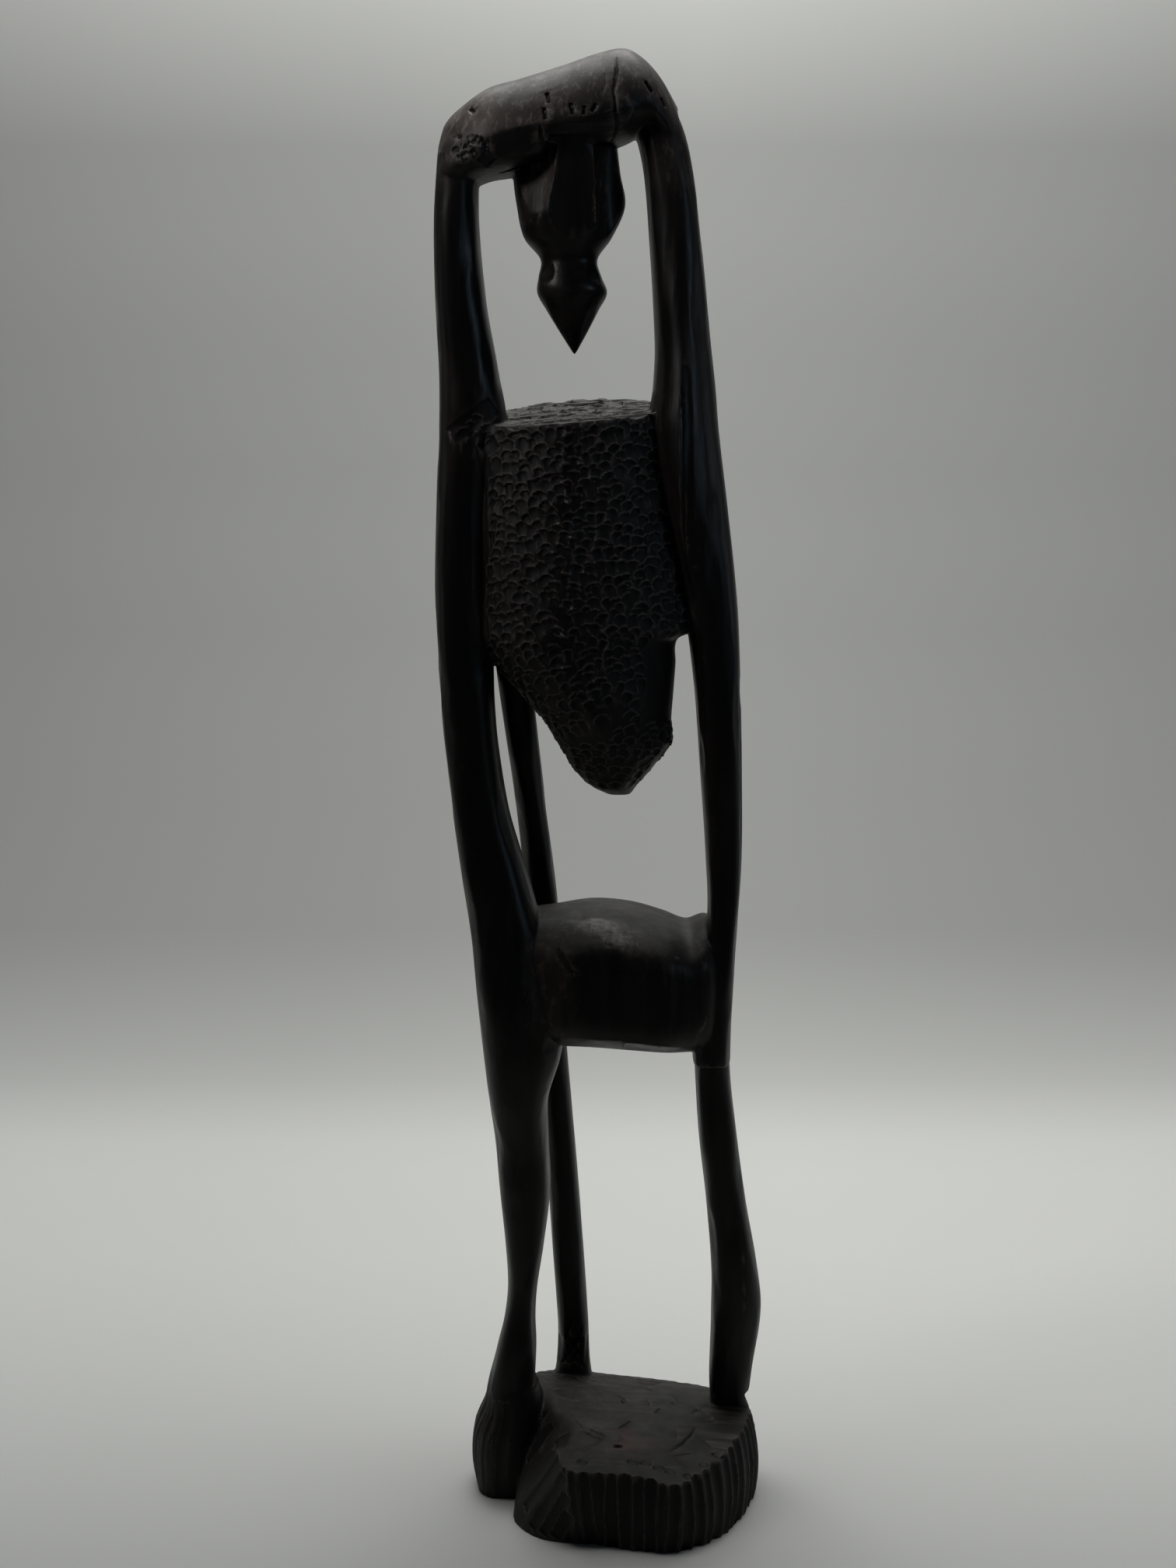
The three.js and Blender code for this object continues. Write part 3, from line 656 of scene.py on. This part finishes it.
# A painted highlight: a pale streak across the pelvis's domed top, where the overhead lamp's reflection
# would show. Its middle, height and slant:
PAINTED_HIGHLIGHT_X = -3.5
PAINTED_HIGHLIGHT_Z = 216
PAINTED_HIGHLIGHT_FALL = 0.36
on_base = z < BASE_LEVEL
section = sections(TORSO, np.clip(z, TORSO[0][0], TORSO[-1][0]))
across = np.abs((2 * x - section[:, 1] - section[:, 2]) / (section[:, 2] - section[:, 1]))
on_torso = (across**3 + np.abs((y - section[:, 3]) / section[:, 4]) ** 3 < 1.4) & (z > 258) & (z < 403)
dull = np.where(on_torso, 0.8, np.interp(z, [170, 230], [0.3, 0.12]))
dull = np.where(on_base, 0.85 - 0.4 * np.clip((z - 36) / 8, 0, 1), dull)
dull = np.where(z > 455, np.maximum(dull, np.interp(z, [455, 474], [0.3, 0.5])), dull)
on_pelvis = (np.abs(x + 2) < 36) & (z > 168) & (z < 224) & (y < 42)
above_painted_highlight = z - PAINTED_HIGHLIGHT_Z + PAINTED_HIGHLIGHT_FALL * (x - PAINTED_HIGHLIGHT_X)
painted_highlight_patch = np.exp(-(((x - PAINTED_HIGHLIGHT_X) / 11) ** 2) - (above_painted_highlight / 3.5) ** 2) * (y < -15)
upward = np.clip((normals[:, 2] - 0.25) / 0.6, 0, 1)
dull = np.where(on_pelvis, np.maximum(dull, upward * (0.75 - 0.65 * painted_highlight_patch)), dull)
# Painted light: the pelvis's left side, which faces the left lamp, is made duller and paler.
painted_light_flank = np.clip((x + 33) / 3, 0, 1) * np.clip((-12 - x) / 8, 0, 1) * (z > 178) * (z < 214) * (y < -15)
dull = np.maximum(dull, 0.6 * painted_light_flank)
# Upward faces are paled, partly from wear and partly as painted light from above, less towards the right
# and on the torso's top.
upward_wear_and_painted_light = np.where(on_pelvis, np.interp(x, [4, 14], [0.3, 0.16]), np.interp(x, [-10, 20], [0.3, 0.03]))
wear_and_painted_light = upward * np.where(z > 385, 0.12, upward_wear_and_painted_light)
# The painted highlight on the pelvis's top is carried in the same value, above one.
wear_and_painted_light = np.where(on_pelvis, np.maximum(wear_and_painted_light, 2.6 * painted_highlight_patch), wear_and_painted_light)
# On the lintel the paleness follows how far the face turns up: painted light from above, with some wear.
wear_and_painted_light = np.where(z > LINTEL_LEVEL, np.clip((normals[:, 2] + 0.15) / 0.5, 0, 1), wear_and_painted_light)
# On the base the paleness fades out towards the front rim, as painted shade.
wear_and_painted_light = np.where(on_base, wear_and_painted_light * np.clip((y + 50) / 8, 0, 1), wear_and_painted_light)
# The front of the lintel's left end is paled further.
wear_and_painted_light += 0.3 * np.clip((-40 - x) / 5, 0, 1) * (z > 486) * (normals[:, 1] < -0.3)
wear_and_painted_light = np.maximum(wear_and_painted_light, 0.35 * painted_light_flank)
# Painted light: the pendant's side facets, turned to the sides where the light falls on them, are paled.
painted_light_cheek = np.clip((-0.2 - normals[:, 0]) / 0.3, 0, 1) + np.clip((normals[:, 0] - 0.35) / 0.3, 0, 1)
on_pendant = (z > 460) & (z < 487) & (x > -38) & (x < 9) & (y < 0)
wear_and_painted_light = np.where(on_pendant, np.maximum(wear_and_painted_light, 0.75 * painted_light_cheek * (normals[:, 1] < -0.2)), wear_and_painted_light)
# The base's top round the foot of the strut is paled.
strut_foot = np.clip(1.6 - np.hypot(x + 15, y - 43) / 7, 0, 1) * on_base * upward
wear_and_painted_light = np.maximum(wear_and_painted_light, 0.7 * strut_foot)
streak = np.array([(4.8, -23.7), (0, -45.4)])
run = streak[1] - streak[0]
part = np.clip(((x - streak[0, 0]) * run[0] + (y - streak[0, 1]) * run[1]) / (run @ run), 0, 1)
aside = np.hypot(x - streak[0, 0] - part * run[0], y - streak[0, 1] - part * run[1])
stain = np.clip(1.6 - aside / 2, 0, 1) * (z > 18) * on_base
# The edge value pales the rims, partly as wear and partly as a painted highlight, and darkens the hollows
# as painted shade; on the torso's chips both are made stronger.
bend = np.where(on_torso, 1.7, 1) * bend
# At a few listed spots the edge value is set to its palest.
for a, b in [(21.6, 207.4), (22.2, 198.2), (-15, 303), (-9.6, 294.7), (48, 88), (48.4, 82), (48.2, 75),
             (48, 69)]:
    bend[np.hypot(x - a, z - b) + 10 * (y > -2 + (z < 120) * 4) < 0.7] = 1
for name, values in (("dull", dull), ("wear_and_painted_light", wear_and_painted_light), ("edge", np.clip(bend * 4, -1, 1)), ("stain", stain)):
    final.attributes.new(name, "FLOAT", "POINT").data.foreach_set("value", values.astype(np.float32))


# Blackwood
# African blackwood, nearly black with brown streaks along the grain, waxed once, dull where it was left
# from the gouge. It is paler on top partly from wear and partly as painted light from above, carries a
# painted highlight on the pelvis's top, has pale rims that are partly wear and partly painted highlight,
# and painted shade in its hollows.

blackwood = bpy.data.materials.new("blackwood")
blackwood.use_nodes = True
nodes, links = blackwood.node_tree.nodes, blackwood.node_tree.links
surface = nodes["Principled BSDF"]
place = nodes.new("ShaderNodeTexCoord").outputs["Object"]


def stretched(scale, detail=4.0, rough=0.55):
    """Noise on the object's own coordinates, stretched by a scale for each axis."""
    move = nodes.new("ShaderNodeMapping")
    move.inputs["Scale"].default_value = scale
    links.new(place, move.inputs["Vector"])
    noise = nodes.new("ShaderNodeTexNoise")
    noise.inputs["Scale"].default_value = 1
    noise.inputs["Detail"].default_value = detail
    noise.inputs["Roughness"].default_value = rough
    links.new(move.outputs["Vector"], noise.inputs["Vector"])
    return noise.outputs["Fac"]


def value(name):
    """A value kept at the mesh's corners."""
    node = nodes.new("ShaderNodeAttribute")
    node.attribute_name = name
    return node.outputs["Fac"]


def spread(source, low, high, to_low=0.0, to_high=1.0):
    """A value moved from one span to another, and kept inside it."""
    node = nodes.new("ShaderNodeMapRange")
    links.new(source, node.inputs["Value"])
    for name, number in (("From Min", low), ("From Max", high), ("To Min", to_low), ("To Max", to_high)):
        node.inputs[name].default_value = number
    return node.outputs["Result"]


def times(first, second):
    """Two values multiplied, the second of which may be a plain number."""
    node = nodes.new("ShaderNodeMath")
    node.operation = "MULTIPLY"
    for socket, source in zip(node.inputs, (first, second)):
        if isinstance(source, float):
            socket.default_value = source
        else:
            links.new(source, socket)
    return node.outputs[0]


def blend(share, first, second):
    """One colour passing into another by a share."""
    node = nodes.new("ShaderNodeMix")
    node.data_type = "RGBA"
    links.new(share, node.inputs["Factor"])
    for name, colour in (("A", first), ("B", second)):
        socket = [item for item in node.inputs if item.name == name and item.type == "RGBA"][0]
        if isinstance(colour, tuple):
            socket.default_value = (*colour, 1)
        else:
            links.new(colour, socket)
    return [item for item in node.outputs if item.type == "RGBA"][0]


grain = spread(stretched((220, 220, 14)), 0.42, 0.66)
patches = spread(stretched((60, 60, 40)), 0.35, 0.65)
colour = blend(grain, (0.0035, 0.0033, 0.0034), (0.010, 0.0072, 0.0062))
colour = blend(times(value("dull"), 0.55), colour, (0.0095, 0.0082, 0.0078))
# Paleness from wear and painted light from above, in patches.
colour = blend(times(times(value("wear_and_painted_light"), patches), 0.8), colour, (0.040, 0.029, 0.0255))
scratches = stretched((420, 420, 170), 5, 0.7)
scuffs = spread(scratches, 0.52, 0.66)
# Pale scratches where that value is high: wear, and on the pelvis's top part of its painted highlight.
colour = blend(times(times(value("wear_and_painted_light"), scuffs), 0.6), colour, (0.12, 0.102, 0.094))
# Painted highlight: where that value passes one, on the pelvis's top, pale scratched colour is painted in
# as the lamp's reflection.
painted_highlight = times(spread(value("wear_and_painted_light"), 1.0, 2.2), spread(scratches, 0.34, 0.58))
colour = blend(painted_highlight, colour, (0.16, 0.145, 0.138))
colour = blend(times(value("stain"), 0.7), colour, (0.045, 0.018, 0.014))
# Pale rims where the skin stands out: partly wear, partly a painted highlight.
colour = blend(spread(value("edge"), 0.15, 0.8, 0.0, 0.6), colour, (0.07, 0.059, 0.055))
# Painted shade: darker where the skin lies deep, in the hollows of the cuts.
colour = blend(spread(value("edge"), -0.1, -0.6, 0.0, 0.8), colour, (0.0015, 0.0013, 0.0012))
links.new(colour, surface.inputs["Base Color"])
rough = nodes.new("ShaderNodeMath")
rough.operation = "ADD"
links.new(spread(value("dull"), 0.0, 1.0, 0.3, 0.62), rough.inputs[0])
links.new(spread(stretched((150, 150, 30)), 0.3, 0.7, -0.06, 0.08), rough.inputs[1])
links.new(rough.outputs[0], surface.inputs["Roughness"])
surface.inputs["Specular IOR Level"].default_value = 0.2
fibre = nodes.new("ShaderNodeBump")
fibre.inputs["Strength"].default_value = 0.25
fibre.inputs["Distance"].default_value = 0.0004
links.new(stretched((900, 900, 50), 6, 0.6), fibre.inputs["Height"])
links.new(fibre.outputs["Normal"], surface.inputs["Normal"])
final.materials.append(blackwood)
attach(carved, "root")
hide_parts("carving")


# Floor, light and camera
# A pale paper sweep, whose colour carries painted light and shade that darkens towards the front, over its
# bend and to the sides, a wide soft light overhead, and a broad weak one on each side, the right one
# cooler. The front has only two small narrow lamps, one from the upper left and a bluish one from the
# right.

FRONT, BEND, BEND_RADIUS, TOP, HALF_WIDTH = -3.0, 0.9, 0.5, 3.0, 3.0
turn = np.linspace(0, np.pi / 2, 25)
profile = np.concatenate([
    [(y, 0) for y in np.linspace(FRONT, BEND, 61)[:-1]],
    np.stack([BEND + BEND_RADIUS * np.sin(turn), BEND_RADIUS * (1 - np.cos(turn))], axis=-1),
    [(BEND + BEND_RADIUS, z) for z in np.linspace(BEND_RADIUS, TOP, 31)[1:]],
])
travel = FRONT + np.concatenate([[0], np.cumsum(np.linalg.norm(np.diff(profile, axis=0), axis=1))])
rails = np.linspace(-HALF_WIDTH, HALF_WIDTH, 61)
paper_spots = [(x, *spot) for spot in profile for x in rails]
grid = np.arange(len(paper_spots)).reshape(len(profile), len(rails))
quads = np.stack([grid[:-1, :-1], grid[:-1, 1:], grid[1:, 1:], grid[1:, :-1]], axis=-1).reshape(-1, 4)
sweep = bpy.data.meshes.new("sweep")
sweep.from_pydata(paper_spots, [], quads.tolist())
sweep.shade_smooth()
# Painted light and shade on the paper: its brightness along the sweep and across it follows the fall of
# the light.
stops = np.array([
    (FRONT, 0.08), (-0.7, 0.08), (-0.35, 0.12), (-0.2, 0.27), (-0.1, 0.42), (0.05, 0.53), (0.165, 0.58),
    (0.25, 0.596), (0.395, 0.589), (0.47, 0.56), (0.55, 0.452), (0.65, 0.39), (0.776, 0.35), (1, 0.304),
    (1.2, 0.32), (1.31, 0.337), (1.4, 0.345), (1.48, 0.375), (1.55, 0.39), (1.7, 0.48), (1.8, 0.47),
    (1.9, 0.42), (1.96, 0.62), (5, 0.7),
])
beside = [
    (-1.2, 0.3), (-0.6, 0.82), (-0.2, 0.9), (0, 0.98), (0.1, 1), (0.3, 0.94), (0.6, 0.88), (1.2, 0.3),
]
paper_light_and_shade = np.interp(travel, *stops.T)[:, None] * np.interp(rails, *np.array(beside).T)[None, :]
sweep.attributes.new("paper_light_and_shade", "FLOAT", "POINT").data.foreach_set("value", paper_light_and_shade.ravel().astype(np.float32))
floor = bpy.data.objects.new("sweep", sweep)
bpy.context.scene.collection.objects.link(floor)

paper = bpy.data.materials.new("paper")
paper.use_nodes = True
nodes, links = paper.node_tree.nodes, paper.node_tree.links
links.new(blend(value("paper_light_and_shade"), (0, 0, 0), (1, 1.01, 0.985)), nodes["Principled BSDF"].inputs["Base Color"])
nodes["Principled BSDF"].inputs["Roughness"].default_value = 0.9
nodes["Principled BSDF"].inputs["Specular IOR Level"].default_value = 0.1
sweep.materials.append(paper)

WIDE = 180
NARROW = 36
for name, place, aim, size, power, tint, cone in [
    ("overhead", (0.0, 0.45, 1.8), (0, 0.1, 0.2), 1.5, 30, (1, 1, 0.98), WIDE),
    ("backdrop_wash", (0.0, 0.7, 1.7), (0, 1.4, 0.9), 0.8, 8, (1, 1, 0.98), WIDE),
    ("left", (-1.3, 0.3, 0.4), (0, 0, 0.4), 0.6, 0.32, (1, 0.98, 0.95), WIDE),
    ("right", (1.3, 0.3, 0.4), (0, 0, 0.4), 0.6, 0.6, (0.8, 0.9, 1), WIDE),
    ("upper_left", (-0.85, -0.5, 1.0), (-0.02, 0, 0.55), 0.25, 0.22, (1, 0.96, 0.94), NARROW),
    ("right_front", (0.85, -0.6, 0.65), (0, 0, 0.44), 0.35, 0.05, (0.6, 0.8, 1), NARROW),
]:
    lamp = bpy.data.lights.new(name, "AREA")
    lamp.size = size
    lamp.energy = power
    lamp.color = tint
    lamp.spread = math.radians(cone)
    holder = bpy.data.objects.new(name, lamp)
    holder.location = place
    holder.rotation_euler = (Vector(place) - Vector(aim)).to_track_quat("Z", "Y").to_euler()
    bpy.context.scene.collection.objects.link(holder)
world = bpy.data.worlds.new("room")
world.use_nodes = True
world.node_tree.nodes["Background"].inputs["Color"].default_value = (0.7, 0.9, 1, 1)
world.node_tree.nodes["Background"].inputs["Strength"].default_value = 0.02
bpy.context.scene.world = world
bpy.context.scene.view_settings.view_transform = "Standard"

FOCAL_PIXELS = 3000
IMAGE_HEIGHT = 2016
SENSOR = 36
PITCH = math.radians(8)
AXIS_LENGTH = 836.6
AIM_ACROSS = -9.9
AIM_HEIGHT = 264.9
camera_data = bpy.data.cameras.new("camera")
camera_data.sensor_width = SENSOR
camera_data.lens = FOCAL_PIXELS / IMAGE_HEIGHT * SENSOR
camera = bpy.data.objects.new("camera", camera_data)
back, up = AXIS_LENGTH * math.cos(PITCH), AXIS_LENGTH * math.sin(PITCH)
camera.location = Vector((AIM_ACROSS, -back, AIM_HEIGHT + up)) * MM
camera.rotation_euler = (math.pi / 2 - PITCH, 0, 0)
bpy.context.scene.collection.objects.link(camera)
bpy.context.scene.camera = camera
